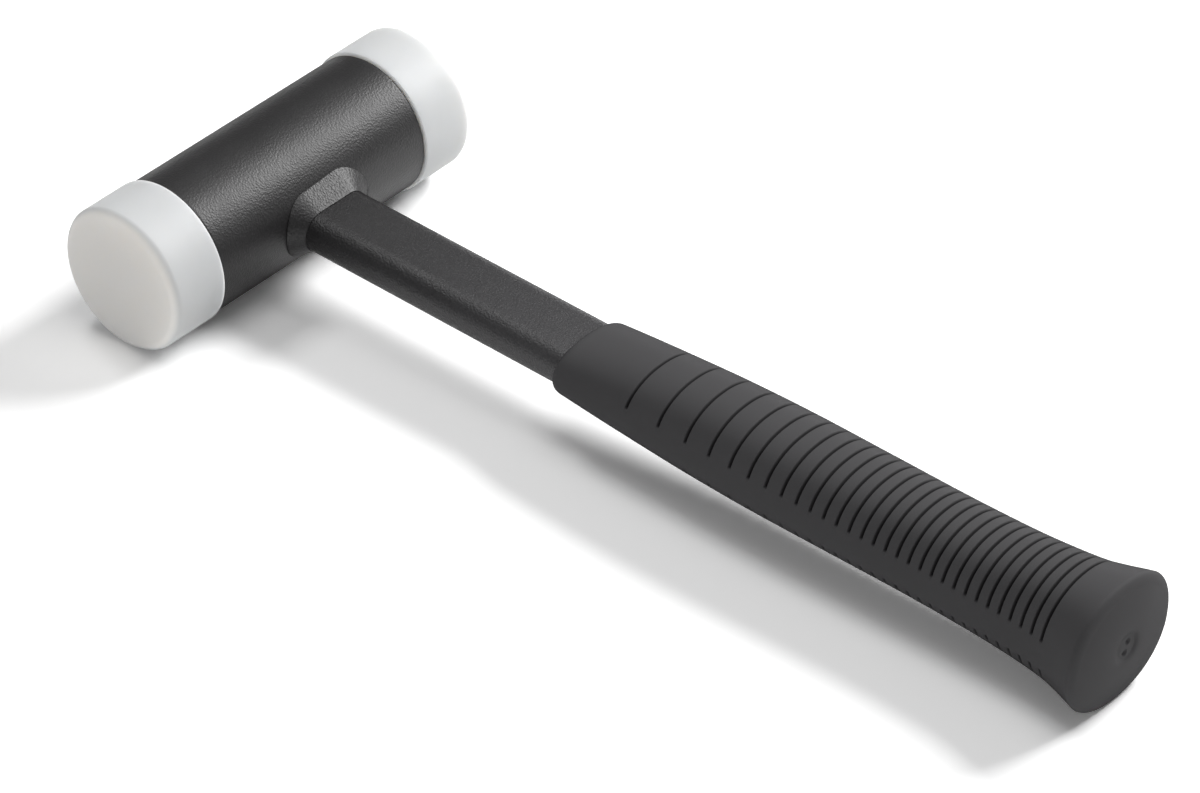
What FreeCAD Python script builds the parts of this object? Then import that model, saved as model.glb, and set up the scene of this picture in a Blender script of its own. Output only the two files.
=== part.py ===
import FreeCAD, Part
import math
import os
from FreeCAD import Placement, Rotation, Vector

# Dead blow hammer with a steel tube head, two push-in nylon faces and a moulded grip.
# Millimetres. While it is built, X runs along the handle from the head's middle to the butt,
# Y runs along the head and Z is up, square to the handle's wide flats. At the end the whole
# hammer is laid down on its two faces and its butt, with the floor at Z = 0.

# Head tube
head_dia = 38.7
head_wall = 2.5
head_length = 74.8
head_rim_bevel = 0.4

# Nylon faces
face_dia = 40.0
face_length = 17.25
face_edge_round = 2.2
spigot_length = 13.0
spigot_clearance = 0.05

# Discs that close the shot chamber
disc_thickness = 3.0
disc_spigot_gap = 0.4

# Steel shot, as the bed that it forms when the hammer lies flat
shot_travel = 4.0
shot_end_gap = 0.3
shot_bore_gap = 0.35
shot_bed_height = 20.0

# Flat-oval handle tube and the weld bead round its root
handle_width = 22.1
handle_thickness = 11.3
handle_wall = 1.6
bead_leg_on_head = 3.5
bead_leg_on_handle = 4.2
bead_slope_width = 2.9
bead_slope_length = 3.6

# Moulded grip: the lip, the palm swell and the flared butt
grip_start = 106.9
grip_length = 166.4
grip_end_wall = 8.0
grip_bore_clearance = 0.05
palm_width = 30.5
palm_height = 23.7
butt_width = 38.6
butt_height = 34.4
lip_bevel = 1.4
butt_edge_width = 4.0
butt_edge_length = 3.2

# Sections along the grip, as shares of its length, of the palm's section and of the step up to the butt
palm_place_shares = (0, 0.068, 0.147, 0.26, 0.385, 0.53, 0.68, 0.8)
palm_width_shares = (0.885, 0.915, 0.94, 0.973, 1, 0.993, 0.967, 0.975)
palm_height_shares = (0.615, 0.725, 0.835, 0.955, 1, 1.003, 1.03, 1.085)
flare_place_shares = (0.878, 0.93, 0.965, 0.985, 1)
flare_width_shares = (0.045, 0.24, 0.55, 0.8, 1)
flare_height_shares = (0.3, 0.51, 0.76, 0.91, 1)

# How far the round ends of the grip's ovals follow its flatness: 1 would be near an ellipse
end_round_power = 0.7

# The round edges of the faces and the butt are drawn in this many bevels
edge_steps = 2

# Thirty grooves over the grip and thirty under it, closer together towards the butt
groove_count = 30
groove_width = 0.8
groove_depth = 0.75
first_groove_setback = 24.5
groove_pitch = 3.34
first_pitch_extra = 7.1
pitch_extra_decay_share = 0.775
plain_strip_height = 8.2

# To keep the faces few, a groove nearer than this to the last one drawn is left out: 0 draws all
closest_drawn_grooves = 6.6

# A groove's floor is this many flats
floor_flats = 4

# The flank faces end at a share of the plain strip, or of the whole height where that is less
flank_strip_share = 0.85
flank_height_share = 0.37

cut_overrun = 2.0

head_radius = head_dia / 2
bore_radius = head_radius - head_wall
face_radius = face_dia / 2
spigot_radius = bore_radius - spigot_clearance
disc_outer_place = head_length / 2 - spigot_length - disc_spigot_gap
chamber_length = 2 * (disc_outer_place - disc_thickness)
grip_end = grip_start + grip_length
rim_distance = grip_length - butt_edge_length
handle_end = grip_end - grip_end_wall
along_head = Vector(0, 1, 0)
along_handle = Vector(1, 0, 0)


def turned_on_head_axis(points):
    """Turn a closed outline of (radius, place along the head) round the head's axis."""
    corners = [Vector(radius, place, 0) for radius, place in points]
    outline = Part.Face(Part.makePolygon(corners + corners[:1]))
    return outline.revolve(Vector(0, 0, 0), along_head, 360)


def flat_oval(width, thickness, place):
    """A wire of two straights and two half rounds, square to the handle."""
    end_radius = thickness / 2
    straight = width / 2 - end_radius
    top_left = Vector(place, -straight, end_radius)
    top_right = Vector(place, straight, end_radius)
    low_right = Vector(place, straight, -end_radius)
    low_left = Vector(place, -straight, -end_radius)
    right_tip = Vector(place, width / 2, 0)
    left_tip = Vector(place, -width / 2, 0)
    return Part.Wire([
        Part.makeLine(top_left, top_right),
        Part.Arc(top_right, right_tip, low_right).toShape(),
        Part.makeLine(low_right, low_left),
        Part.Arc(low_left, left_tip, top_left).toShape(),
    ])


def flat_oval_bar(width, thickness, start, stop):
    return Part.Face(flat_oval(width, thickness, start)).extrude(along_handle * (stop - start))


def head_tube():
    """A plain steel tube with broken rims, bored right through for the discs and the faces."""
    half = head_length / 2
    bevel = head_rim_bevel
    return turned_on_head_axis([
        (bore_radius, -half),
        (head_radius - bevel, -half),
        (head_radius, -half + bevel),
        (head_radius, half - bevel),
        (head_radius - bevel, half),
        (bore_radius, half),
    ])


def striking_face():
    """A nylon face for the +Y end, flat in front, round-edged, with a spigot that plugs the bore."""
    seat = head_length / 2
    front = seat + face_length
    edge = face_edge_round
    points = [(0, seat - spigot_length), (spigot_radius, seat - spigot_length), (spigot_radius, seat)]
    points.append((face_radius, seat))
    for step in range(edge_steps + 1):
        turn = math.pi / 2 * step / edge_steps
        radius = face_radius - edge + edge * math.cos(turn)
        points.append((radius, front - edge + edge * math.sin(turn)))
    points.append((0, front))
    return turned_on_head_axis(points)


def chamber_disc():
    """A steel disc pressed into the bore, which keeps the shot in when a face is changed."""
    inner = disc_outer_place - disc_thickness
    return Part.makeCylinder(bore_radius, disc_thickness, Vector(0, inner, 0), along_head)


def shot_charge():
    """The level bed of shot in the round chamber, short of the discs by its travel."""
    length = chamber_length - 2 * (shot_travel + shot_end_gap)
    radius = bore_radius - shot_bore_gap
    bed = Part.makeCylinder(radius, length, Vector(0, -length / 2, 0), along_head)
    level = shot_bed_height - radius
    above = Part.makeBox(
        2 * head_dia, 2 * head_length, head_dia, Vector(-head_dia, -head_length, level)
    )
    return bed.cut(above)


def mirrored_to_near_end(shape):
    return shape.mirror(Vector(0, 0, 0), along_head)


def head_envelope():
    return Part.makeCylinder(
        head_radius, 2 * head_length, Vector(0, -head_length, 0), along_head
    )


def handle_tube():
    """A flat-oval steel tube, coped at the head end to sit on the round head tube."""
    outer = flat_oval_bar(handle_width, handle_thickness, 0, handle_end)
    inner_width = handle_width - 2 * handle_wall
    inner_thickness = handle_thickness - 2 * handle_wall
    inner = flat_oval_bar(inner_width, inner_thickness, -cut_overrun, handle_end + cut_overrun)
    return outer.cut(inner).cut(head_envelope())


def weld_bead():
    """The bead all round the handle's root, sloping from the head tube up onto the handle."""
    width = handle_width + 2 * bead_leg_on_head
    thickness = handle_thickness + 2 * bead_leg_on_head
    top = head_radius + bead_leg_on_handle
    block = Part.makeLoft([
        flat_oval(width, thickness, 0),
        flat_oval(width, thickness, top - bead_slope_length),
        flat_oval(width - 2 * bead_slope_width, thickness - 2 * bead_slope_width, top),
    ], True, True)
    handle = flat_oval_bar(handle_width, handle_thickness, 0, top + cut_overrun)
    return block.cut(handle).cut(head_envelope())


def grip_oval(place, half_width, half_height):
    """A closed oval, square to the handle: flank, shoulder, crown, shoulder, and the same below."""
    end_radius = half_height * (half_height / half_width) ** end_round_power
    end_middle = half_width - end_radius
    crown_radius = (end_middle**2 + half_height**2 - end_radius**2) / (2 * (half_height - end_radius))
    crown_middle = half_height - crown_radius
    # The arcs meet on the line through their middles, whether the oval is wider or taller
    blend = math.atan2(abs(crown_middle), abs(end_middle))
    flank_height = min(flank_strip_share * plain_strip_height / 2, flank_height_share * half_height)
    flank = math.asin(flank_height / end_radius)

    def on_end(turn):
        return end_middle + end_radius * math.cos(turn), end_radius * math.sin(turn)

    def on_crown(turn):
        return crown_radius * math.cos(turn), crown_middle + crown_radius * math.sin(turn)

    side = [on_end(turn) for turn in (-flank, 0, flank)]
    shoulder = [on_end(turn) for turn in (flank, (flank + blend) / 2, blend)]
    crown = [on_crown(turn) for turn in (blend, math.pi / 2, math.pi - blend)]
    half = [side, shoulder, crown, [(-y, z) for y, z in reversed(shoulder)]]
    whole = half + [[(-y, -z) for y, z in arc] for arc in half]
    return Part.Wire([Part.Arc(*[Vector(place, y, z) for y, z in arc]).toShape() for arc in whole])


def grip_stations():
    """Place, half width and half height at each named station from the lip to the butt's rim."""
    stations = []
    palm = zip(palm_place_shares, palm_width_shares, palm_height_shares)
    for place_share, width_share, height_share in palm:
        place = grip_start + rim_distance * place_share
        stations.append((place, palm_width / 2 * width_share, palm_height / 2 * height_share))
    waist_width = stations[-1][1]
    waist_height = stations[-1][2]
    flare = zip(flare_place_shares, flare_width_shares, flare_height_shares)
    for place_share, width_share, height_share in flare:
        place = grip_start + rim_distance * place_share
        half_width = waist_width + (butt_width / 2 - waist_width) * width_share
        half_height = waist_height + (butt_height / 2 - waist_height) * height_share
        stations.append((place, half_width, half_height))
    return stations


def grip_section(place):
    """Place, half width and half height, straight between the stations on either side."""
    stations = grip_stations()
    i = max(k for k in range(len(stations) - 1) if k == 0 or stations[k][0] <= place)
    share = (place - stations[i][0]) / (stations[i + 1][0] - stations[i][0])
    return [start + (stop - start) * share for start, stop in zip(stations[i], stations[i + 1])]


def grip_form():
    """The grip's outer form: a sloped lip, the palm and the flare, and a round-edged butt."""
    front, half_width, half_height = grip_section(grip_start)
    sections = [(front, half_width - lip_bevel, half_height - lip_bevel)]
    sections.append(grip_section(grip_start + lip_bevel))
    sections += grip_stations()[1:]
    rim, half_width, half_height = sections[-1]
    for step in range(1, edge_steps + 1):
        turn = math.pi / 2 * step / edge_steps
        inset = butt_edge_width * (1 - math.cos(turn))
        place = rim + butt_edge_length * math.sin(turn)
        sections.append((place, half_width - inset, half_height - inset))
    return Part.makeLoft([grip_oval(*section) for section in sections], True, True)


def groove_places():
    places = [grip_start + first_groove_setback]
    extra = first_pitch_extra
    while len(places) < groove_count:
        places.append(places[-1] + groove_pitch + extra)
        extra *= pitch_extra_decay_share
    return places


def drawn_groove_places():
    """The grooves' places, thinned out from the butt towards the lip where they lie close together."""
    drawn = []
    for place in reversed(groove_places()):
        if not drawn or drawn[-1] - place >= closest_drawn_grooves:
            drawn.append(place)
    return drawn


def groove_slots(place):
    """What one groove takes away over the top and under the bottom, down to the flats of its floor."""
    _, half_width, half_height = grip_section(place)
    strip = plain_strip_height / 2
    floor_width = half_width - groove_depth
    floor_height = half_height - groove_depth
    start = math.asin(strip / floor_height)
    outline = [(-butt_width, strip), (-butt_width, butt_height), (butt_width, butt_height)]
    outline.append((butt_width, strip))
    for step in range(floor_flats + 1):
        turn = start + (math.pi - 2 * start) * step / floor_flats
        outline.append((floor_width * math.cos(turn), floor_height * math.sin(turn)))
    slots = []
    for side in (1, -1):
        corners = [Vector(place - groove_width / 2, y, z * side) for y, z in outline]
        slot = Part.Face(Part.makePolygon(corners + corners[:1]))
        slots.append(slot.extrude(along_handle * groove_width))
    return slots


def grip_sleeve():
    """The moulded rubber grip, bored for the handle and cut with its two rows of grooves."""
    bore = flat_oval_bar(
        handle_width + 2 * grip_bore_clearance,
        handle_thickness + 2 * grip_bore_clearance,
        grip_start - cut_overrun,
        handle_end + grip_bore_clearance,
    )
    slots = [slot for place in drawn_groove_places() for slot in groove_slots(place)]
    return grip_form().cut(slots).cut(bore)


def lay_down(pieces):
    """Lie the hammer on its faces and its butt, midway over the origin."""
    x, _, half_height = grip_stations()[-1]
    reach = math.hypot(x, half_height)
    tilt = math.asin(face_radius / reach) - math.atan2(half_height, x)
    turn = Rotation(Vector(0, 1, 0), math.degrees(tilt))
    laid = {name: shape.copy() for name, shape in pieces.items()}
    for shape in laid.values():
        shape.Placement = Placement(Vector(0, 0, 0), turn)
    box = Part.makeCompound(list(laid.values())).optimalBoundingBox(False)
    for shape in laid.values():
        shape.Placement = Placement(Vector(-box.Center.x, 0, -box.ZMin), turn)
    return laid


pieces = {
    "head_tube": head_tube(),
    "striking_face_far": striking_face(),
    "striking_face_near": mirrored_to_near_end(striking_face()),
    "chamber_disc_far": chamber_disc(),
    "chamber_disc_near": mirrored_to_near_end(chamber_disc()),
    "shot_charge": shot_charge(),
    "handle_tube": handle_tube(),
    "weld_bead": weld_bead(),
    "grip_sleeve": grip_sleeve(),
}
os.makedirs("parts", exist_ok=True)
for node, shape in lay_down(pieces).items():
    print(node, shape.ShapeType, len(shape.Solids), shape.isValid(), round(shape.Volume))
    shape.exportStep("parts/" + node + ".step")
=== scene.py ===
import bmesh
import bpy
import math
from mathutils import Matrix, Vector


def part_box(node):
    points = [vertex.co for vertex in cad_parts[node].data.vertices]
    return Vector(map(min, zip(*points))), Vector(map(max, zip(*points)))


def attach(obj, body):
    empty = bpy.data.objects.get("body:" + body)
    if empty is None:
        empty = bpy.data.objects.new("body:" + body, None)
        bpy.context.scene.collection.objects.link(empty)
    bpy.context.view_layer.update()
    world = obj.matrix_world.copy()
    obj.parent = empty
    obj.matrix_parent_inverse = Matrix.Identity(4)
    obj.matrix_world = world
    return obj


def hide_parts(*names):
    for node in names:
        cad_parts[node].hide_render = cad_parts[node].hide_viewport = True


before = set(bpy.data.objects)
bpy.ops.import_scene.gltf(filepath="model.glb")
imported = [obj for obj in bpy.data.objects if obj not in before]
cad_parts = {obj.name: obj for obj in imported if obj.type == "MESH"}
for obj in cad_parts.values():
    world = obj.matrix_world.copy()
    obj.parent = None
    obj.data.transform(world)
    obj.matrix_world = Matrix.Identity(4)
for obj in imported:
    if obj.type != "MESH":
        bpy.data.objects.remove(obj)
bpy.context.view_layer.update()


# HEAD TUBE
# A sawn length of round steel tube with its rims broken, painted with black powder coat that bakes to
# a fine leathery skin. The two faces plug its ends and the handle is welded to its side.

mm = 0.001
head_low, head_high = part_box("head_tube")
head_middle = (head_low + head_high) / 2
head_radius = (head_high.z - head_low.z) / 2
head_half_length = (head_high.y - head_low.y) / 2
tube_wall = 2.5 * mm
bore_radius = head_radius - tube_wall
rim_round = 0.8 * mm
same_place = 1e-9


def rounded_profile(corners, closed, steps=6, hold=0.3 * mm):
    """An outline of (radius, place) with each corner's third number as its rounding.

    A point at the hold's distance from each rounding keeps the flats shaded flat.
    """
    count = len(corners)
    outline = []
    for i, (radius, place, rounding) in enumerate(corners):
        corner = Vector((radius, place))
        if rounding == 0:
            outline.append(corner)
            continue
        before = (Vector(corners[i - 1][:2]) - corner).normalized()
        after = (Vector(corners[(i + 1) % count][:2]) - corner).normalized()
        half_angle = before.angle(after) / 2
        reach = rounding / math.tan(half_angle)
        centre = corner + (before + after).normalized() * (rounding / math.sin(half_angle))
        start = corner + before * reach - centre
        stop = corner + after * reach - centre
        turn = start.angle_signed(stop)
        outline.append(corner + before * (reach + hold))
        for step in range(steps + 1):
            spoke = Matrix.Rotation(-turn * step / steps, 2) @ start
            outline.append(centre + spoke)
        outline.append(corner + after * (reach + hold))
    return outline + outline[:1] if closed else outline


def turned_piece(name, outline, segments=240):
    """A solid turned about the head's own line, with its place in its mesh."""
    mesh = bmesh.new()
    rings = []
    closed = (outline[0] - outline[-1]).length < same_place
    for point in outline[:-1] if closed else outline:
        if point.x < same_place:
            rings.append([mesh.verts.new(head_middle + Vector((0, point.y, 0)))])
            continue
        ring = []
        for i in range(segments):
            turn = 2 * math.pi * i / segments
            spoke = Vector((point.x * math.cos(turn), point.y, point.x * math.sin(turn)))
            ring.append(mesh.verts.new(head_middle + spoke))
        rings.append(ring)
    if closed:
        rings.append(rings[0])
    join_rings(mesh, rings)
    bmesh.ops.recalc_face_normals(mesh, faces=mesh.faces)
    return finished_piece(name, mesh)


def join_rings(mesh, rings):
    """Faces from each ring of corners to the next. A ring may be a single corner on the axis."""
    count = max(len(ring) for ring in rings)
    for first, second in zip(rings, rings[1:]):
        for i in range(count):
            j = (i + 1) % count
            corners = [first[i % len(first)], first[j % len(first)]]
            corners += [second[j % len(second)], second[i % len(second)]]
            mesh.faces.new(dict.fromkeys(corners))


def finished_piece(name, mesh):
    """Turn a bmesh into a smooth-shaded object."""
    data = bpy.data.meshes.new(name)
    mesh.to_mesh(data)
    mesh.free()
    data.shade_smooth()
    piece = bpy.data.objects.new(name, data)
    bpy.context.scene.collection.objects.link(piece)
    return piece


def fill_sockets(tree, node, sockets):
    """Give each named socket its value, or link it from another node's socket."""
    for name, value in sockets.items():
        if isinstance(value, bpy.types.NodeSocket):
            tree.links.new(value, node.inputs[name])
        else:
            node.inputs[name].default_value = value


def add_node(tree, kind, sockets=None, **settings):
    """A node, with its settings made before its sockets are filled."""
    made = tree.nodes.new(kind)
    for name, value in settings.items():
        setattr(made, name, value)
    fill_sockets(tree, made, sockets or {})
    return made


def calculated(tree, operation, first, second=0.0):
    """One sum, product or the like of two numbers."""
    return add_node(tree, "ShaderNodeMath", {0: first, 1: second}, operation=operation).outputs[0]


def remap(tree, value, *spans, smooth=False):
    """Carry a value from one span to another: from low and high, to low and high."""
    sockets = dict(zip(("From Min", "From Max", "To Min", "To Max"), spans), Value=value)
    way = "SMOOTHSTEP" if smooth else "LINEAR"
    return add_node(tree, "ShaderNodeMapRange", sockets, interpolation_type=way).outputs["Result"]


def mixed(tree, share, first, second, kind="RGBA", **settings):
    """Go by a share from the first colour to the second, or between plain numbers."""
    sockets = {"Factor": share, "A": first, "B": second}
    return add_node(tree, "ShaderNodeMix", sockets, data_type=kind, **settings).outputs["Result"]


def noise(tree, place, scale, detail=2.0, roughness=0.5):
    """Soft noise by the object's own place. A higher scale is finer."""
    sockets = {"Scale": scale, "Detail": detail, "Roughness": roughness}
    sockets["Vector"] = place.outputs["Object"]
    return add_node(tree, "ShaderNodeTexNoise", sockets).outputs["Fac"]


def bumped(tree, height, strength, depth):
    """The surface's direction once a height is pressed into it."""
    sockets = {"Height": height, "Strength": strength, "Distance": depth}
    return add_node(tree, "ShaderNodeBump", sockets).outputs["Normal"]


def dulled_along(tree, start, stop, full, least):
    """Gloss that fades where a surface is seen along itself: painted shade on the reflections there.
    """
    along = add_node(tree, "ShaderNodeLayerWeight", {"Blend": 0.5})
    return remap(tree, along.outputs["Facing"], start, stop, full, least)


def new_group(name, kind, inputs, outputs):
    """An empty node group with named sockets. Inputs are (name, type, default)."""
    group = bpy.data.node_groups.new(name, kind)
    for label, socket_type, default in inputs:
        socket = group.interface.new_socket(label, in_out="INPUT", socket_type=socket_type)
        if default is not None:
            socket.default_value = default
    for label, socket_type in outputs:
        group.interface.new_socket(label, in_out="OUTPUT", socket_type=socket_type)
    return group, group.nodes.new("NodeGroupInput"), group.nodes.new("NodeGroupOutput")


def new_material(name):
    """A material with only its shader and output."""
    material = bpy.data.materials.new(name)
    material.use_nodes = True
    tree = material.node_tree
    tree.nodes.clear()
    shader = add_node(tree, "ShaderNodeBsdfPrincipled")
    add_node(tree, "ShaderNodeOutputMaterial", {"Surface": shader.outputs["BSDF"]})
    return material, tree, shader


def leathery_skin_group():
    """The lumps of a baked powder coat: close round cells broken up by finer noise."""
    group, given, result = new_group(
        "leathery_skin",
        "ShaderNodeTree",
        [
            ("Cell Size", "NodeSocketFloat", 0.8 * mm),
            ("Paint Colour", "NodeSocketColor", (0.01, 0.01, 0.01, 1)),
            ("Gloss Change", "NodeSocketFloat", 0.1),
        ],
        [
            ("Colour", "NodeSocketColor"),
            ("Roughness Change", "NodeSocketFloat"),
            ("Height", "NodeSocketFloat"),
        ],
    )
    place = add_node(group, "ShaderNodeTexCoord")
    scale = calculated(group, "DIVIDE", 1.0, given.outputs["Cell Size"])
    cells = add_node(
        group,
        "ShaderNodeTexVoronoi",
        {"Vector": place.outputs["Object"], "Scale": scale, "Randomness": 1.0, "Smoothness": 0.6},
        feature="SMOOTH_F1",
    )
    grit = noise(group, place, scale, detail=3.0, roughness=0.6)
    lumps = remap(group, cells.outputs["Distance"], 0.0, 0.8, 1.0, 0.0, smooth=True)
    height = mixed(group, 0.55, lumps, grit, "FLOAT")
    flecks = remap(group, grit, 0.3, 0.7, 0.7, 1.3)
    colour = mixed(group, 1.0, given.outputs["Paint Colour"], flecks, blend_type="MULTIPLY")
    clouds = noise(group, place, scale=60.0)
    gloss = remap(group, clouds, 0.3, 0.7, -1.0, 1.0)
    change = calculated(group, "MULTIPLY", gloss, given.outputs["Gloss Change"])
    fill_sockets(group, result, {"Colour": colour, "Roughness Change": change, "Height": height})
    return group


def powder_coat(name, paint, roughness, cell_size, relief):
    """Black powder coat on steel, with the leathery skin at its own size and depth."""
    material, tree, shader = new_material(name)
    skin = add_node(
        tree,
        "ShaderNodeGroup",
        {"Cell Size": cell_size, "Paint Colour": paint, "Gloss Change": 0.03},
        node_tree=leathery_skin,
    )
    fill_sockets(tree, shader, {
        "Base Color": skin.outputs["Colour"],
        "Roughness": calculated(tree, "ADD", skin.outputs["Roughness Change"], roughness),
        "Normal": bumped(tree, skin.outputs["Height"], strength=1.0, depth=relief),
        "Specular IOR Level": dulled_along(tree, start=0.58, stop=0.85, full=0.5, least=0.06),
        "IOR": 1.5,
    })
    return material


def greyer_along_handle(material, paint, start, stop):
    """Let a coat go from its own black to a greyer paint between two places along the handle."""
    tree = material.node_tree
    skin = next(node for node in tree.nodes if node.type == "GROUP")
    place = add_node(tree, "ShaderNodeTexCoord")
    along = add_node(tree, "ShaderNodeSeparateXYZ", {"Vector": place.outputs["Object"]})
    share = remap(tree, along.outputs["X"], start, stop)
    own = tuple(skin.inputs["Paint Colour"].default_value)
    fill_sockets(tree, skin, {"Paint Colour": mixed(tree, share, own, paint)})


leathery_skin = leathery_skin_group()
black_paint = (0.009, 0.0085, 0.009, 1)
tube_paint = powder_coat(
    "powder_coat_on_tube", black_paint, roughness=0.46, cell_size=0.55 * mm, relief=0.08 * mm
)

head_barrel = turned_piece(
    "head_barrel",
    rounded_profile(
        [
            (bore_radius, -head_half_length, rim_round / 4),
            (head_radius, -head_half_length, rim_round),
            (head_radius, head_half_length, rim_round),
            (bore_radius, head_half_length, rim_round / 4),
        ],
        closed=True,
    ),
)
head_barrel.data.materials.append(tube_paint)
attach(head_barrel, "hammer")
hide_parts("head_tube")


# CHAMBER DISCS
# Two steel discs, parted off a bar and pressed into the bore behind the faces. They keep the shot in
# when a face is pulled off to be changed. The lathe leaves fine rings on them.

steel_grey = (0.42, 0.41, 0.40, 1)
steel_bright = (0.56, 0.55, 0.53, 1)


def from_head_middle(tree, place):
    """The object's own place, measured from the middle of the head."""
    sockets = {"Vector": place.outputs["Object"], "Location": -head_middle}
    return add_node(tree, "ShaderNodeMapping", sockets).outputs["Vector"]


def turned_steel():
    """Bare steel with lathe rings about the head's own line."""
    material, tree, shader = new_material("turned_steel")
    place = add_node(tree, "ShaderNodeTexCoord")
    rings = add_node(
        tree,
        "ShaderNodeTexWave",
        {"Vector": from_head_middle(tree, place), "Scale": 800.0, "Distortion": 0.6, "Detail": 2.0},
        wave_type="RINGS",
        rings_direction="Y",
    )
    stain = noise(tree, place, scale=220.0)
    fill_sockets(tree, shader, {
        "Base Color": mixed(tree, stain, steel_grey, steel_bright),
        "Roughness": remap(tree, rings.outputs["Fac"], 0.0, 1.0, 0.28, 0.42),
        "Normal": bumped(tree, rings.outputs["Fac"], strength=0.6, depth=0.01 * mm),
        "Metallic": 1.0,
    })
    return material


disc_steel = turned_steel()
for name in ("chamber_disc_near", "chamber_disc_far"):
    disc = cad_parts[name]
    disc.data.materials.clear()
    disc.data.materials.append(disc_steel)


# SHOT
# Small hardened steel balls, loose in the chamber between the discs. With the hammer on its side they
# lie as a level bed, and at a blow they run to the struck end.

ball_diameter = 2.6 * mm
ball_pitch = 2.66 * mm
ball_gap = 0.05 * mm
lattice_rows = 13
layer_rise_share = math.sqrt(0.5)
ball_grey = (0.50, 0.49, 0.48, 1)
ball_bright = (0.62, 0.61, 0.60, 1)
shot_low, shot_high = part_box("shot_charge")


def shot_group():
    """Balls on a close lattice, shaken a little, kept where the round bed is."""
    group, given, result = new_group(
        "bed_of_shot",
        "GeometryNodeTree",
        [
            ("Geometry", "NodeSocketGeometry", None),
            ("Ball Diameter", "NodeSocketFloat", 2.6 * mm),
            ("Pitch", "NodeSocketFloat", 2.7 * mm),
            ("Bed Radius", "NodeSocketFloat", 15 * mm),
            ("Level", "NodeSocketFloat", 2 * mm),
            ("Half Length", "NodeSocketFloat", 15 * mm),
            ("Shake", "NodeSocketFloat", 0.05 * mm),
            ("Middle", "NodeSocketVector", None),
            ("Material", "NodeSocketMaterial", None),
        ],
        [("Geometry", "NodeSocketGeometry")],
    )

    def maths(operation, first, second=0.0):
        return calculated(group, operation, first, second)

    start = -(lattice_rows - 1) / 2
    index = add_node(group, "GeometryNodeInputIndex").outputs[0]
    column = maths("MODULO", index, float(lattice_rows))
    rest = maths("FLOOR", maths("DIVIDE", index, float(lattice_rows)))
    row = maths("MODULO", rest, float(lattice_rows))
    layer = maths("FLOOR", maths("DIVIDE", rest, float(lattice_rows)))
    offset = maths("MULTIPLY", maths("MODULO", layer, 2.0), 0.5)
    pitch = given.outputs["Pitch"]
    x = maths("MULTIPLY", maths("ADD", maths("ADD", column, start), offset), pitch)
    y = maths("MULTIPLY", maths("ADD", maths("ADD", row, start), offset), pitch)
    z = maths("MULTIPLY", maths("ADD", layer, start), maths("MULTIPLY", pitch, layer_rise_share))
    lattice = add_node(group, "ShaderNodeCombineXYZ", {"X": x, "Y": y, "Z": z}).outputs[0]
    far_out = maths("SQRT", maths("ADD", maths("MULTIPLY", x, x), maths("MULTIPLY", z, z)))
    outside = maths(
        "MAXIMUM",
        maths("GREATER_THAN", far_out, given.outputs["Bed Radius"]),
        maths(
            "MAXIMUM",
            maths("GREATER_THAN", z, given.outputs["Level"]),
            maths("GREATER_THAN", maths("ABSOLUTE", y), given.outputs["Half Length"]),
        ),
    )
    points = add_node(group, "GeometryNodePoints", {"Count": lattice_rows**3, "Position": lattice})
    kept = add_node(
        group,
        "GeometryNodeDeleteGeometry",
        {"Geometry": points.outputs[0], "Selection": outside},
    )
    shake = add_node(
        group,
        "FunctionNodeRandomValue",
        {"Min": (-1.0, -1.0, -1.0), "Max": (1.0, 1.0, 1.0), "Seed": 7},
        data_type="FLOAT_VECTOR",
    )
    shaken = add_node(
        group,
        "ShaderNodeVectorMath",
        {0: shake.outputs["Value"], "Scale": given.outputs["Shake"]},
        operation="SCALE",
    )
    moved = add_node(
        group,
        "ShaderNodeVectorMath",
        {0: shaken.outputs[0], 1: given.outputs["Middle"]},
        operation="ADD",
    )
    placed = add_node(
        group,
        "GeometryNodeSetPosition",
        {"Geometry": kept.outputs[0], "Offset": moved.outputs[0]},
    )
    ball = add_node(
        group,
        "GeometryNodeMeshIcoSphere",
        {"Radius": maths("MULTIPLY", given.outputs["Ball Diameter"], 0.5), "Subdivisions": 2},
    )
    round_ball = add_node(
        group,
        "GeometryNodeSetShadeSmooth",
        {"Geometry": ball.outputs["Mesh"], "Shade Smooth": True},
    )
    balls = add_node(
        group,
        "GeometryNodeInstanceOnPoints",
        {"Points": placed.outputs[0], "Instance": round_ball.outputs[0]},
    )
    real = add_node(group, "GeometryNodeRealizeInstances", {"Geometry": balls.outputs[0]})
    coloured = add_node(
        group,
        "GeometryNodeSetMaterial",
        {"Geometry": real.outputs[0], "Material": given.outputs["Material"]},
    )
    group.links.new(coloured.outputs[0], result.inputs[0])
    return group


def grown_piece(name, seed_piece, group, values):
    """Run a Geometry Nodes tree over a piece and keep the result as a plain mesh."""
    modifier = seed_piece.modifiers.new(group.name, "NODES")
    modifier.node_group = group
    for item in group.interface.items_tree:
        if item.in_out == "INPUT" and item.name in values:
            modifier[item.identifier] = values[item.name]
    evaluated = seed_piece.evaluated_get(bpy.context.evaluated_depsgraph_get())
    data = bpy.data.meshes.new_from_object(evaluated)
    seed_piece.modifiers.clear()
    data.name = name
    seed_piece.data = data
    seed_piece.name = name
    return seed_piece


def ball_steel():
    """Polished steel, a little dulled where the balls rub."""
    material, tree, shader = new_material("rubbed_steel")
    place = add_node(tree, "ShaderNodeTexCoord")
    rub = noise(tree, place, scale=900.0)
    fill_sockets(tree, shader, {
        "Base Color": mixed(tree, rub, ball_grey, ball_bright),
        "Roughness": remap(tree, rub, 0.0, 1.0, 0.2, 0.4),
        "Metallic": 1.0,
    })
    return material


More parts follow.
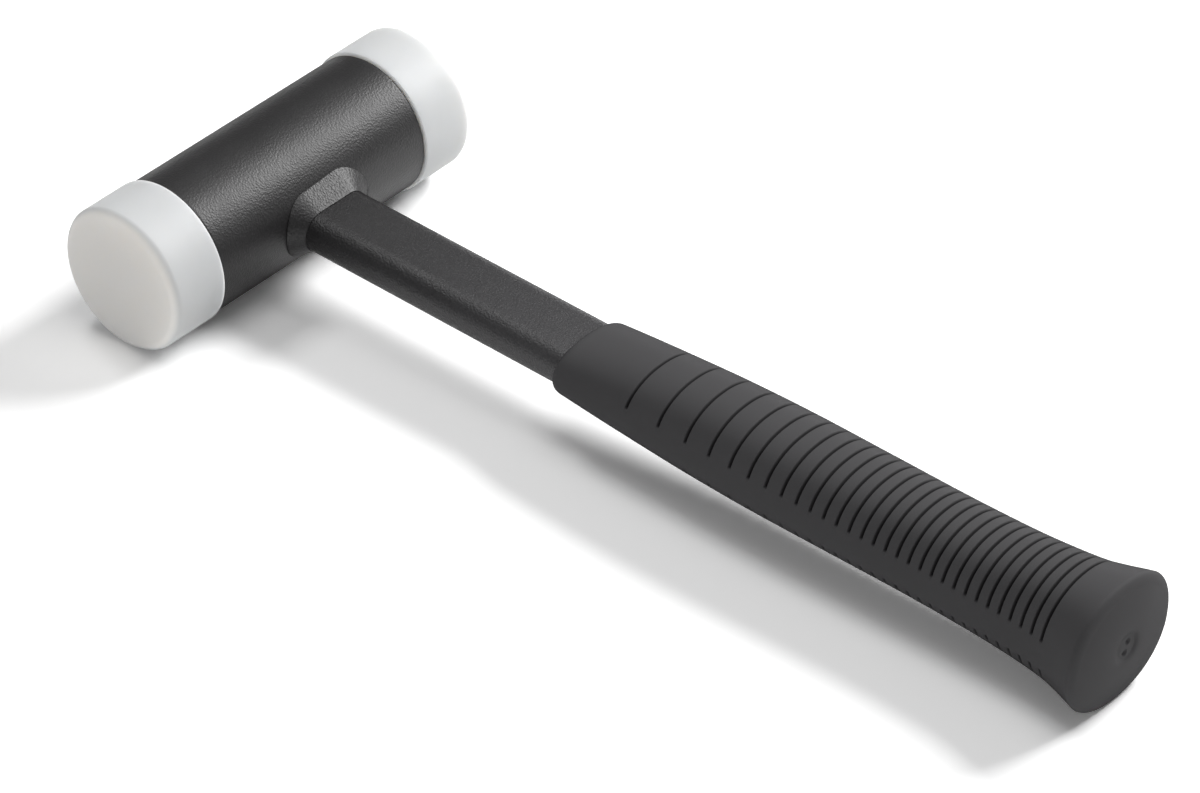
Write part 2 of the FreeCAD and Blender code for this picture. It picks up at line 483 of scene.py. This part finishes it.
shot_seed = finished_piece("shot_seed", bmesh.new())
shot = grown_piece(
    "loose_shot",
    shot_seed,
    shot_group(),
    {
        "Ball Diameter": ball_diameter,
        "Pitch": ball_pitch,
        "Bed Radius": (shot_high.x - shot_low.x) / 2 - ball_diameter / 2 - ball_gap,
        "Level": shot_high.z - head_middle.z - ball_diameter / 2 - ball_gap,
        "Half Length": (shot_high.y - shot_low.y) / 2 - ball_diameter / 2 - ball_gap,
        "Shake": 0.02 * mm,
        "Middle": head_middle,
        "Material": ball_steel(),
    },
)
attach(shot, "shot")
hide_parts("shot_charge")


# STRIKING FACES
# Two faces turned from white cast nylon, cloudy enough for light to go some way in. Each has a soft
# round edge, stands a little proud of the tube and is held by its spigot, a tight push fit.

box_margin = 0.005 * mm
face_low, face_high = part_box("striking_face_far")
face_radius = (face_high.z - face_low.z) / 2 - box_margin
face_front = face_high.y - head_middle.y
face_collar = head_half_length + 0.02 * mm
collar_round = 0.25 * mm
spigot_end = face_low.y - head_middle.y
spigot_radius = bore_radius - 0.05 * mm
spigot_round = 0.6 * mm
face_edge = 2.3 * mm
edge_lead = 0.5 * mm
edge_power = 1.62
edge_steps = 16
front_ring_shares = (0.97, 0.8, 0.5, 0.2)
nylon_grey = (0.535, 0.545, 0.55, 1)
nylon_milk = (0.595, 0.605, 0.61, 1)
# The near front's paler colour is painted fill light, not a colour of the nylon itself.
painted_fill_front = (0.80, 0.785, 0.76, 1)
painted_fill_start = 1.6 * mm
painted_fill_stop = 0.1 * mm


def face_profile():
    """From the middle of the spigot's end, over the collar and soft edge, to the front's middle."""
    outline = rounded_profile(
        [
            (0, spigot_end, 0),
            (spigot_radius, spigot_end, spigot_round),
            (spigot_radius, face_collar, 0),
            (face_radius, face_collar, collar_round),
            (face_radius, face_front - face_edge, 0),
        ],
        closed=False,
    )
    outline.insert(1, Vector((spigot_radius / 2, spigot_end)))
    outline.insert(-1, Vector((face_radius, face_front - face_edge - edge_lead)))
    for step in range(1, edge_steps + 1):
        turn = math.pi / 2 * step / edge_steps
        across = math.cos(turn) ** (2 / edge_power)
        out = math.sin(turn) ** (2 / edge_power)
        outline.append(
            Vector((face_radius - face_edge * (1 - across), face_front - face_edge * (1 - out)))
        )
    for share in front_ring_shares:
        outline.append(Vector(((face_radius - face_edge) * share, face_front)))
    outline.append(Vector((0, face_front)))
    return outline


def cast_nylon():
    """Milky nylon, which scatters light inside it, with faint clouds. The near front gets a paler
    colour, which is painted fill light.
    """
    material, tree, shader = new_material("cast_nylon")
    place = add_node(tree, "ShaderNodeTexCoord")
    clouds = noise(tree, place, scale=55.0, detail=3.0)
    body = mixed(tree, clouds, nylon_grey, nylon_milk)
    parts = add_node(tree, "ShaderNodeSeparateXYZ", {"Vector": from_head_middle(tree, place)})
    forward = calculated(tree, "MULTIPLY", parts.outputs["Y"], -1.0)
    start, stop = face_front - painted_fill_start, face_front - painted_fill_stop
    # Share of painted fill light, rising towards the near front over its last millimetres.
    front = remap(tree, forward, start, stop, smooth=True)
    specks = noise(tree, place, scale=700.0, detail=3.0)
    fill_sockets(tree, shader, {
        "Base Color": mixed(tree, front, body, painted_fill_front),
        "Roughness": remap(tree, specks, 0.0, 1.0, 0.5, 0.6),
        "Normal": bumped(tree, specks, strength=0.5, depth=0.02 * mm),
        "IOR": 1.5,
        "Subsurface Weight": 1.0,
        "Subsurface Radius": (1.0, 0.95, 0.88),
        "Subsurface Scale": 8 * mm,
    })
    return material


nylon = cast_nylon()
for end, side in (("near", -1), ("far", 1)):
    outline = [Vector((point.x, point.y * side)) for point in face_profile()]
    face = turned_piece("nylon_face_" + end, outline)
    face.data.materials.append(nylon)
    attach(face, end + "_face")
    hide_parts("striking_face_" + end)


# HANDLE TUBE
# A flat-oval steel tube, coped at one end to sit on the head tube and painted with it. It leans down
# by the small angle at which the hammer lies on its faces and butt, and runs on through the grip.

handle_tilt = math.radians(0.594)
on_handle = Matrix.Translation(head_middle) @ Matrix.Rotation(handle_tilt, 4, "Y")
handle_half_width = 11.05 * mm
handle_half_thickness = 5.65 * mm
handle_wall = 1.6 * mm
handle_end = 265.3 * mm
straight_half = handle_half_width - handle_half_thickness
wall_shares = (0, 0.002, 0.1, 0.2, 0.3, 0.4, 0.5, 0.6, 0.7, 0.8, 0.9, 0.998, 1)
# The handle's paint turns greyer between these two places, towards the grip.
greyer_handle_paint = (0.037, 0.036, 0.038, 1)
greying_from = head_middle.x + 24 * mm
greying_to = head_middle.x + 107 * mm


def flat_oval_points(grow, arc_steps=28, flat_steps=8):
    """Points and outward directions round the flat oval, stood off by grow."""
    points = []
    for side, first in ((1, -90), (-1, 90)):
        for step in range(arc_steps):
            turn = math.radians(first + 180 * (step + 0.5) / arc_steps)
            out = Vector((0, math.cos(turn), math.sin(turn)))
            middle = Vector((0, side * straight_half, 0))
            points.append((middle + out * (handle_half_thickness + grow), out))
        for step in range(flat_steps + 1):
            out = Vector((0, 0, side))
            y = side * straight_half * (1 - 2 * step / flat_steps)
            points.append((Vector((0, y, 0)) + out * (handle_half_thickness + grow), out))
    return points


def skinned(name, rings):
    """Join rings of points, each with as many points, into a closed skin, the last to the first."""
    mesh = bmesh.new()
    corners = [[mesh.verts.new(on_handle @ point) for point in ring] for ring in rings]
    join_rings(mesh, corners + corners[:1])
    bmesh.ops.recalc_face_normals(mesh, faces=mesh.faces)
    return finished_piece(name, mesh)


def on_head_round(point):
    """Where a line along the handle meets the head tube."""
    return math.sqrt(head_radius**2 - point.z**2)


def handle_rings():
    """Outer skin from the coped end to the cut end, and the bore back again."""
    rings = []
    for grow, shares in ((0.0, wall_shares), (-handle_wall, wall_shares[::-1])):
        outline = [point for point, _ in flat_oval_points(grow)]
        for share in shares:
            ring = []
            for point in outline:
                start = on_head_round(point)
                x = start + (handle_end - start) * share
                ring.append(Vector((x, point.y, point.z)))
            rings.append(ring)
    return rings


handle_paint = powder_coat(
    "powder_coat_on_handle", black_paint, roughness=0.44, cell_size=0.5 * mm, relief=0.17 * mm
)
greyer_along_handle(handle_paint, greyer_handle_paint, greying_from, greying_to)
handle = skinned("painted_handle", handle_rings())
handle.data.materials.append(handle_paint)
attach(handle, "hammer")
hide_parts("handle_tube")


# WELD BEAD
# The thick bead all round the handle's root, dressed to a flat slope with a crisp outer edge, and a
# little fuller on the far side. The coat over it is heavier, so its lumps stand higher.

bead_near_leg = 3.5 * mm
bead_far_leg = 4.5 * mm
bead_top = head_radius + 3.5 * mm
bead_toe_rise = 0.35 * mm
bead_edge_round = 0.35 * mm
bead_root = 0.3 * mm
bead_edge_steps = 8
bead_slope_shares = (0.14, 0.3, 0.5, 0.7, 0.86, 0.95, 0.98, 1)
bead_end_stand = 0.15 * mm
bead_tuck = 0.1 * mm


def bead_rings():
    """Rings from the toe on the round head, over the crisp edge and down the slope to the handle.

    The skin is closed out of sight, tucked under the handle's surface and back to the toe.
    """
    columns = []
    for point, out in flat_oval_points(0.0):
        far_share = (1 + point.y / handle_half_width) / 2
        leg = bead_near_leg + (bead_far_leg - bead_near_leg) * far_share
        toe = point + out * leg
        edge = Vector((on_head_round(toe) + bead_toe_rise, leg))
        end = Vector((bead_top, bead_end_stand))
        slope = (end - edge).normalized()
        profile = [edge - Vector((bead_toe_rise + bead_root, 0))]
        before = edge - Vector((bead_edge_round / 2, 0))
        after = edge + slope * bead_edge_round
        for step in range(bead_edge_steps + 1):
            t = step / bead_edge_steps
            profile.append(before * (1 - t) ** 2 + edge * 2 * t * (1 - t) + after * t**2)
        profile += [edge.lerp(end, share) for share in bead_slope_shares]
        profile.append(Vector((bead_top - 2 * bead_tuck, -bead_tuck)))
        profile.append(Vector((on_head_round(point) - bead_root, -bead_tuck)))
        columns.append([Vector((x, point.y, point.z)) + out * stand for x, stand in profile])
    return [list(ring) for ring in zip(*columns)]


bead_paint = powder_coat(
    "powder_coat_on_bead", black_paint, roughness=0.46, cell_size=0.6 * mm, relief=0.13 * mm
)
bead = skinned("painted_weld_bead", bead_rings())
bead.data.materials.append(bead_paint)
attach(bead, "hammer")
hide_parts("weld_bead")


# GRIP
# Black rubber moulded on the handle: a soft lip, a palm swell and a flared butt. Thirty fine grooves
# run over the top and thirty under the bottom, closer together towards the butt, with a plain strip
# along each flank. The butt's end is slightly domed, with the mould's gate mark in its middle.

grip_start = 106.9 * mm
grip_rim = 270.1 * mm
lip_length = 2.4 * mm
lip_drop = 1.5 * mm
lip_steps = 10
land_row_gap = 1.6 * mm
rim_rows = 16
oval_power = 2.15
# Place along the handle, half width and half height, in millimetres
grip_stations = (
    (106.9, 13.50, 7.29),
    (118.0, 13.95, 8.59),
    (130.9, 14.34, 9.89),
    (149.3, 14.84, 11.32),
    (169.7, 15.25, 11.85),
    (193.4, 15.14, 11.89),
    (217.9, 14.75, 12.21),
    (237.5, 14.87, 12.86),
    (250.2, 15.07, 14.16),
    (258.7, 15.93, 15.07),
    (264.4, 17.31, 16.16),
    (267.7, 18.41, 16.81),
    (270.1, 19.30, 17.20),
)
groove_count = 30
first_groove = 131.4 * mm
groove_pitch = 3.34 * mm
first_extra = 7.1 * mm
extra_decay = 0.775
groove_half_width = 0.5 * mm
groove_depth = 1.2 * mm
groove_end_taper = 0.35 * mm
groove_row_shares = (-1.3, -1, -0.81, -0.62, 0.62, 0.81, 1, 1.3)
upper_groove_end = 3.9 * mm
lower_groove_end = -4.4 * mm
# Heights of the flanks' rows, which stay level until the grip is lower than the full strip asks
flank_heights = (
    -5.2, -4.95, -4.75, -4.6, -4.48, -4.36, -4.2, -3.9, -3.0, -1.5, 0.0,
    1.4, 2.7, 3.4, 3.65, 3.8, 3.92, 4.05, 4.2, 4.5, 5.2,
)
full_strip_half_height = 9.5 * mm
crown_steps = 84
bore_grow = 0.05 * mm
lip_front_shares = (0.06, 0.5, 0.92)
bore_places = (
    handle_end + bore_grow, handle_end - 2 * mm, 200 * mm, 150 * mm, grip_start + 0.5 * mm
)


def grip_size(place):
    """Half width and half height at a place, on a smooth curve through the stations."""
    spots = [station[0] * mm for station in grip_stations]
    last = len(spots) - 1
    i = max(k for k in range(last) if k == 0 or spots[k] <= place)
    step = spots[i + 1] - spots[i]
    t = (place - spots[i]) / step
    sizes = []
    for column in (1, 2):
        values = [station[column] * mm for station in grip_stations]
        slopes = []
        for k in (i, i + 1):
            before, after = max(k - 1, 0), min(k + 1, last)
            slopes.append((values[after] - values[before]) / (spots[after] - spots[before]) * step)
        rise = values[i + 1] - values[i]
        curve = t * slopes[0] + t**2 * (3 * rise - 2 * slopes[0] - slopes[1])
        curve += t**3 * (slopes[0] + slopes[1] - 2 * rise)
        sizes.append(values[i] + curve)
    return sizes


def groove_places():
    places = []
    place, extra = first_groove, first_extra
    for _ in range(groove_count):
        places.append(place)
        place += groove_pitch + extra
        extra *= extra_decay
    return places


def grip_rows():
    """Places of the rings along the grip: close together at each groove, open on the lands."""
    rows = []
    for i in range(1, lip_steps + 1):
        rows.append(grip_start + lip_length * (1 - math.cos(math.pi / 2 * i / lip_steps)))
    previous = rows[-1]
    edge = groove_row_shares[-1] * groove_half_width
    for place in groove_places():
        gap = place - edge - previous
        count = max(2, round(gap / land_row_gap))
        rows += [previous + gap * i / count for i in range(1, count)]
        rows += [place + groove_half_width * share for share in groove_row_shares]
        previous = place + edge
    rows += [previous + (grip_rim - previous) * i / rim_rows for i in range(1, rim_rows + 1)]
    return rows


def grip_ring(half_width, half_height):
    """Points and outward directions round the oval. Columns on the flanks keep their height."""
    shrink = min(1.0, half_height / full_strip_half_height)
    start = math.asin((flank_heights[-1] * mm * shrink / half_height) ** (oval_power / 2))
    ring = []

    def spot(y, z):
        out = Vector((
            0,
            math.copysign(abs(y / half_width) ** (oval_power - 1), y) / half_width,
            math.copysign(abs(z / half_height) ** (oval_power - 1), z) / half_height,
        )).normalized()
        ring.append((Vector((0, y, z)), out))

    for side in (1, -1):
        for height in flank_heights:
            z = side * height * mm * shrink
            share = abs(z / half_height)
            spot(side * half_width * (1 - share**oval_power) ** (1 / oval_power), z)
        for step in range(1, crown_steps):
            turn = start + (math.pi - 2 * start) * step / crown_steps
            across = math.copysign(abs(math.cos(turn)) ** (2 / oval_power), math.cos(turn))
            up = math.sin(turn) ** (2 / oval_power)
            spot(side * half_width * across, side * half_height * up)
    return ring


def on_flat_oval(direction, grow):
    """Where a ray from the middle of the handle meets its flat oval, stood off by grow."""
    radius = handle_half_thickness + grow
    y, z = abs(direction.y), abs(direction.z)
    if z > 0 and y * radius / z <= straight_half:
        reach = radius / z
    else:
        middle = y * straight_half
        reach = middle + math.sqrt(middle * middle - straight_half**2 + radius**2)
    return Vector((0, direction.y * reach, direction.z * reach))


def barrel_rings():
    """Rings of (point, way out) from the bore's end, round the lip and along the palm to the rim."""
    rings = []
    lip_front = grip_ring(*[size - lip_drop for size in grip_size(grip_start)])
    bore = [on_flat_oval(point.normalized(), bore_grow) for point, _ in lip_front]
    for place in bore_places:
        rings.append([(Vector((place, 0, 0)) + point, -point.normalized()) for point in bore])
    for share in lip_front_shares:
        ring = []
        for inner, (outer, out) in zip(bore, lip_front):
            ring.append((Vector((grip_start, 0, 0)) + inner.lerp(outer, share), out))
        rings.append(ring)
    for place in [grip_start] + grip_rows():
        inset = 0.0
        if place < grip_start + lip_length:
            back = (grip_start + lip_length - place) / lip_length
            inset = lip_drop * (1 - math.sqrt(max(1 - back**2, 0)))
        ring = []
        for point, out in grip_ring(*grip_size(place)):
            ring.append((Vector((place, 0, 0)) + point - out * inset, out))
        rings.append(ring)
    return rings


butt_edge_width = 2.7 * mm
butt_edge_length = 1.8 * mm
butt_edge_turn = math.radians(72)
butt_edge_steps = 14
butt_rise = 1.4 * mm
dome_shares = (0.03, 0.07, 0.12, 0.18, 0.25, 0.32, 0.4, 0.5, 0.6, 0.7, 0.8, 0.9)
gate_radius = 3.8 * mm
# The gate mark's wall: shares of its radius, and depths in millimetres
gate_wall = ((1.3, 0.0), (1.15, 0.04), (1.0, 0.18), (0.92, 0.34), (0.84, 0.45))
gate_floor_step_share = 0.055
gate_floor_steps = 14
pip_radius = 1.0 * mm
pip_height = 0.55 * mm
pip_spots = ((0.5 * mm, 1.2 * mm), (-0.5 * mm, -1.7 * mm))


def butt_sections():
    """Place, half width and half height over the rim and the low dome to the gate mark's floor."""
    sections = []
    half_width, half_height = grip_size(grip_rim)
    for step in range(1, butt_edge_steps + 1):
        turn = butt_edge_turn * step / butt_edge_steps
        inset = butt_edge_width * (1 - math.cos(turn)) / (1 - math.cos(butt_edge_turn))
        place = grip_rim + butt_edge_length * math.sin(turn) / math.sin(butt_edge_turn)
        sections.append((place, half_width - inset, half_height - inset))
    half_width, half_height = sections[-1][1:]
    gate_brow = gate_radius * gate_wall[0][0]
    for share in dome_shares:
        place = grip_rim + butt_edge_length + butt_rise * (1 - (1 - share) ** 2)
        width = half_width + (gate_brow - half_width) * share
        height = half_height + (gate_brow - half_height) * share
        sections.append((place, width, height))
    top = grip_rim + butt_edge_length + butt_rise
    for share, depth in gate_wall:
        sections.append((top - depth * mm, gate_radius * share, gate_radius * share))
    floor_share, floor_depth = gate_wall[-1]
    for step in range(1, gate_floor_steps + 1):
        radius = gate_radius * (floor_share - gate_floor_step_share * step)
        sections.append((top - floor_depth * mm, radius, radius))
    return sections


def pip_depth(point):
    """How far the mould's two small pips press into the floor of the gate mark at a point."""
    depth = 0.0
    for y, z in pip_spots:
        away = math.hypot(point.y - y, point.z - z) / pip_radius
        depth = max(depth, pip_height * (1 - away**2))
    return depth


def cut_grooves_group():
    """Sink a groove at each place of a pitch that settles down, between the flank's plain strips."""
    group, given, result = new_group(
        "moulded_grooves",
        "GeometryNodeTree",
        [
            ("Geometry", "NodeSocketGeometry", None),
            ("Groove Count", "NodeSocketInt", 30),
            ("First Groove", "NodeSocketFloat", 131.4 * mm),
            ("Pitch", "NodeSocketFloat", 3.34 * mm),
            ("First Extra", "NodeSocketFloat", 7.1 * mm),
            ("Extra Decay", "NodeSocketFloat", 0.775),
            ("Half Width", "NodeSocketFloat", 0.3 * mm),
            ("Depth", "NodeSocketFloat", 0.7 * mm),
            ("Upper End", "NodeSocketFloat", 3.9 * mm),
            ("Lower End", "NodeSocketFloat", -4.4 * mm),
            ("End Taper", "NodeSocketFloat", 0.4 * mm),
            ("Material", "NodeSocketMaterial", None),
        ],
        [("Geometry", "NodeSocketGeometry")],
    )

    def maths(operation, first, second=0.0):
        return calculated(group, operation, first, second)

    def attribute(name, kind):
        named = add_node(group, "GeometryNodeInputNamedAttribute", {"Name": name}, data_type=kind)
        return named.outputs["Attribute"]

    along = attribute("along", "FLOAT")
    height = attribute("height", "FLOAT")
    way_in = attribute("way_in", "FLOAT_VECTOR")

    start = group.nodes.new("GeometryNodeRepeatInput")
    stop = group.nodes.new("GeometryNodeRepeatOutput")
    start.pair_with_output(stop)
    stop.repeat_items.clear()
    for name in ("Place", "Extra", "Sunk"):
        stop.repeat_items.new("FLOAT", name)
    fill_sockets(group, start, {
        "Iterations": given.outputs["Groove Count"],
        "Place": given.outputs["First Groove"],
        "Extra": given.outputs["First Extra"],
        "Sunk": 0.0,
    })
    away = maths("ABSOLUTE", maths("SUBTRACT", along, start.outputs["Place"]))
    share = maths("DIVIDE", away, given.outputs["Half Width"])
    sunk_here = remap(group, share, 0.62, 1.0, 1.0, 0.0, smooth=True)
    step = maths("ADD", given.outputs["Pitch"], start.outputs["Extra"])
    fill_sockets(group, stop, {
        "Place": maths("ADD", start.outputs["Place"], step),
        "Extra": maths("MULTIPLY", start.outputs["Extra"], given.outputs["Extra Decay"]),
        "Sunk": maths("MAXIMUM", start.outputs["Sunk"], sunk_here),
    })

    def beyond(distance):
        past = maths("DIVIDE", distance, given.outputs["End Taper"])
        return remap(group, past, 0.0, 1.0, smooth=True)

    above = beyond(maths("SUBTRACT", height, given.outputs["Upper End"]))
    below = beyond(maths("SUBTRACT", given.outputs["Lower End"], height))
    sunk = maths("MULTIPLY", stop.outputs["Sunk"], maths("MAXIMUM", above, below))
    marked = add_node(
        group,
        "GeometryNodeStoreNamedAttribute",
        {"Geometry": given.outputs["Geometry"], "Name": "sunk", "Value": sunk},
        data_type="FLOAT",
        domain="POINT",
    )
    depth = maths("MULTIPLY", sunk, given.outputs["Depth"])
    offset = add_node(group, "ShaderNodeVectorMath", {0: way_in, "Scale": depth}, operation="SCALE")
    cut = add_node(
        group,
        "GeometryNodeSetPosition",
        {"Geometry": marked.outputs["Geometry"], "Offset": offset.outputs[0]},
    )
    real = add_node(group, "GeometryNodeRealizeInstances", {"Geometry": cut.outputs[0]})
    coloured = add_node(
        group,
        "GeometryNodeSetMaterial",
        {"Geometry": real.outputs[0], "Material": given.outputs["Material"]},
    )
    group.links.new(coloured.outputs[0], result.inputs[0])
    return group


def plain_grip():
    """The closed skin of the grip, before its grooves, with what the groove tree reads."""
    rings = barrel_rings()
    for place, half_width, half_height in butt_sections():
        ring = []
        for point, out in grip_ring(half_width, half_height):
            ring.append((Vector((place - pip_depth(point), 0, 0)) + point, out))
        rings.append(ring)
    mesh = bmesh.new()
    along = mesh.verts.layers.float.new("along")
    height = mesh.verts.layers.float.new("height")
    way_in = mesh.verts.layers.float_vector.new("way_in")
    grooved_from = grip_start + lip_length
    corners = []
    for ring in rings:
        row = []
        for point, out in ring:
            corner = mesh.verts.new(on_handle @ point)
            outside = point.x > grooved_from and Vector((0, point.y, point.z)).dot(out) > 0
            corner[along] = point.x if outside else 0.0
            corner[height] = point.z
            corner[way_in] = on_handle.to_3x3() @ -out
            row.append(corner)
        corners.append(row)
    join_rings(mesh, corners)
    mesh.faces.new(corners[0])
    mesh.faces.new(corners[-1])
    bmesh.ops.recalc_face_normals(mesh, faces=mesh.faces)
    return finished_piece("plain_grip", mesh)


rubber_black = (0.043, 0.042, 0.044, 1)
rubber_bloom = (0.055, 0.054, 0.056, 1)
# Painted shade for the grooves, blended in by how far each point is sunk.
painted_groove_shade = (0.004, 0.004, 0.004, 1)


def moulded_rubber():
    """Matt black rubber with a fine mould grain and faint patches of bloom, with painted shade in the
    grooves.
    """
    material, tree, shader = new_material("moulded_rubber")
    place = add_node(tree, "ShaderNodeTexCoord")
    grain = noise(tree, place, scale=2600.0)
    bloom = noise(tree, place, scale=45.0, detail=3.0)
    land = mixed(tree, bloom, rubber_black, rubber_bloom)
    sunk = add_node(tree, "ShaderNodeAttribute", attribute_name="sunk").outputs["Fac"]
    rough = remap(tree, bloom, 0.0, 1.0, 0.74, 0.84)
    fill_sockets(tree, shader, {
        "Base Color": mixed(tree, sunk, land, painted_groove_shade),
        "Roughness": mixed(tree, sunk, rough, 1.0, "FLOAT"),
        "Normal": bumped(tree, grain, strength=0.5, depth=0.02 * mm),
        "Specular IOR Level": dulled_along(tree, start=0.6, stop=0.88, full=0.4, least=0.02),
        "IOR": 1.42,
    })
    return material


grip = grown_piece(
    "grooved_grip",
    plain_grip(),
    cut_grooves_group(),
    {
        "Groove Count": groove_count,
        "First Groove": first_groove,
        "Pitch": groove_pitch,
        "First Extra": first_extra,
        "Extra Decay": extra_decay,
        "Half Width": groove_half_width,
        "Depth": groove_depth,
        "Upper End": upper_groove_end,
        "Lower End": lower_groove_end,
        "End Taper": groove_end_taper,
        "Material": moulded_rubber(),
    },
)
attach(grip, "hammer")
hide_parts("grip_sleeve")


# STUDIO
# A pale floor on a white ground, weak light from all round, and four softboxes: one behind the hammer,
# one above it, a small one high on the left and a weak one by the camera. The camera looks down over
# the butt at the photograph's angle through a long lens.

floor_half_size = 0.5
floor_for_light = (0.75, 0.75, 0.75, 1)
floor_for_eye = (1.25, 1.25, 1.25, 1)
world_light = 0.16
world_white = 1.0
card_radius = 1.8
card_foot = -0.02
card_top = 3.3
card_count = 48
card_light = 0.2
camera_place = (0.73176, -0.85436, 0.88444)
camera_aim = (-0.00541, -0.01119, 0.02)
camera_roll = math.radians(-0.121)
camera_lens = 174.5


def seen_itself(tree):
    """1 where a thing is seen, straight or in gloss or glass, and 0 where it only passes light on."""
    path = add_node(tree, "ShaderNodeLightPath")
    seen = calculated(tree, "MAXIMUM", path.outputs["Is Camera Ray"], path.outputs["Is Glossy Ray"])
    return calculated(tree, "MAXIMUM", seen, path.outputs["Is Transmission Ray"])


def pale_floor():
    mesh = bmesh.new()
    bmesh.ops.create_grid(mesh, x_segments=8, y_segments=8, size=floor_half_size)
    floor = finished_piece("floor", mesh)
    material, tree, shader = new_material("pale_floor")
    fill_sockets(tree, shader, {
        "Base Color": mixed(tree, seen_itself(tree), floor_for_light, floor_for_eye),
        "Roughness": 0.9,
        "Specular IOR Level": 0.0,
    })
    floor.data.materials.append(material)


def studio_world():
    world = bpy.data.worlds.new("studio")
    bpy.context.scene.world = world
    world.use_nodes = True
    tree = world.node_tree
    tree.nodes.clear()
    dim = add_node(tree, "ShaderNodeBackground", {"Color": (1, 1, 1, 1), "Strength": world_light})
    white = add_node(tree, "ShaderNodeBackground", {"Color": (1, 1, 1, 1), "Strength": world_white})
    mix = add_node(
        tree,
        "ShaderNodeMixShader",
        {0: seen_itself(tree), 1: dim.outputs[0], 2: white.outputs[0]},
    )
    add_node(tree, "ShaderNodeOutputWorld", {"Surface": mix.outputs[0]})


def grey_cards():
    """A ring of tall grey cards round the set that glow dimly by their own emission, seen only in what
    glossy paint reflects: a painted reflection.
    """
    mesh = bmesh.new()
    rings = []
    for z in (card_foot, card_top):
        ring = []
        for i in range(card_count):
            turn = 2 * math.pi * i / card_count
            x, y = card_radius * math.cos(turn), card_radius * math.sin(turn)
            ring.append(mesh.verts.new((x, y, z)))
        rings.append(ring)
    join_rings(mesh, rings)
    cards = finished_piece("grey_cards", mesh)
    material, tree, shader = new_material("grey_card")
    fill_sockets(tree, shader, {
        "Base Color": (0.02, 0.02, 0.02, 1),
        "Emission Color": (1, 1, 1, 1),
        "Emission Strength": card_light,
        "Specular IOR Level": 0.0,
    })
    cards.data.materials.append(material)
    cards.visible_camera = False
    cards.visible_diffuse = False
    cards.visible_shadow = False
    cards.visible_transmission = False


def soft_lamp(name, direction, distance, width, height, power):
    """A rectangular softbox in a direction from the middle of the floor, turned to face it."""
    data = bpy.data.lights.new(name, "AREA")
    data.shape = "RECTANGLE"
    data.size = width
    data.size_y = height
    data.energy = power
    lamp = bpy.data.objects.new(name, data)
    bpy.context.scene.collection.objects.link(lamp)
    towards = Vector(direction).normalized()
    lamp.location = towards * distance
    lamp.rotation_mode = "QUATERNION"
    lamp.rotation_quaternion = towards.to_track_quat("Z", "Y")
    return lamp


def photo_camera():
    """The photograph's own view, solved from its outlines."""
    data = bpy.data.cameras.new("camera")
    data.lens = camera_lens
    data.sensor_width = 36.0
    data.clip_end = 50.0
    camera = bpy.data.objects.new("camera", data)
    bpy.context.scene.collection.objects.link(camera)
    place = Vector(camera_place)
    level = (Vector(camera_aim) - place).to_track_quat("-Z", "Y").to_matrix().to_4x4()
    roll = Matrix.Rotation(camera_roll, 4, "Z")
    camera.matrix_world = Matrix.Translation(place) @ level @ roll
    bpy.context.scene.camera = camera


pale_floor()
studio_world()
grey_cards()
soft_lamp("back_softbox", (0.30, 1.12, 0.94), distance=1.2, width=0.6, height=0.36, power=17.5)
soft_lamp("top_softbox", (0.10, 0.05, 1.00), distance=0.8, width=0.5, height=0.5, power=1.3)
soft_lamp("left_softbox", (-0.55, 0.06, 0.84), distance=1.0, width=0.25, height=0.25, power=1.7)
fill = soft_lamp("fill_softbox", (0.30, -1.00, 0.35), distance=1.3, width=0.9, height=0.9, power=4.4)
fill.visible_glossy = False
photo_camera()
bpy.context.scene.view_settings.view_transform = "Standard"
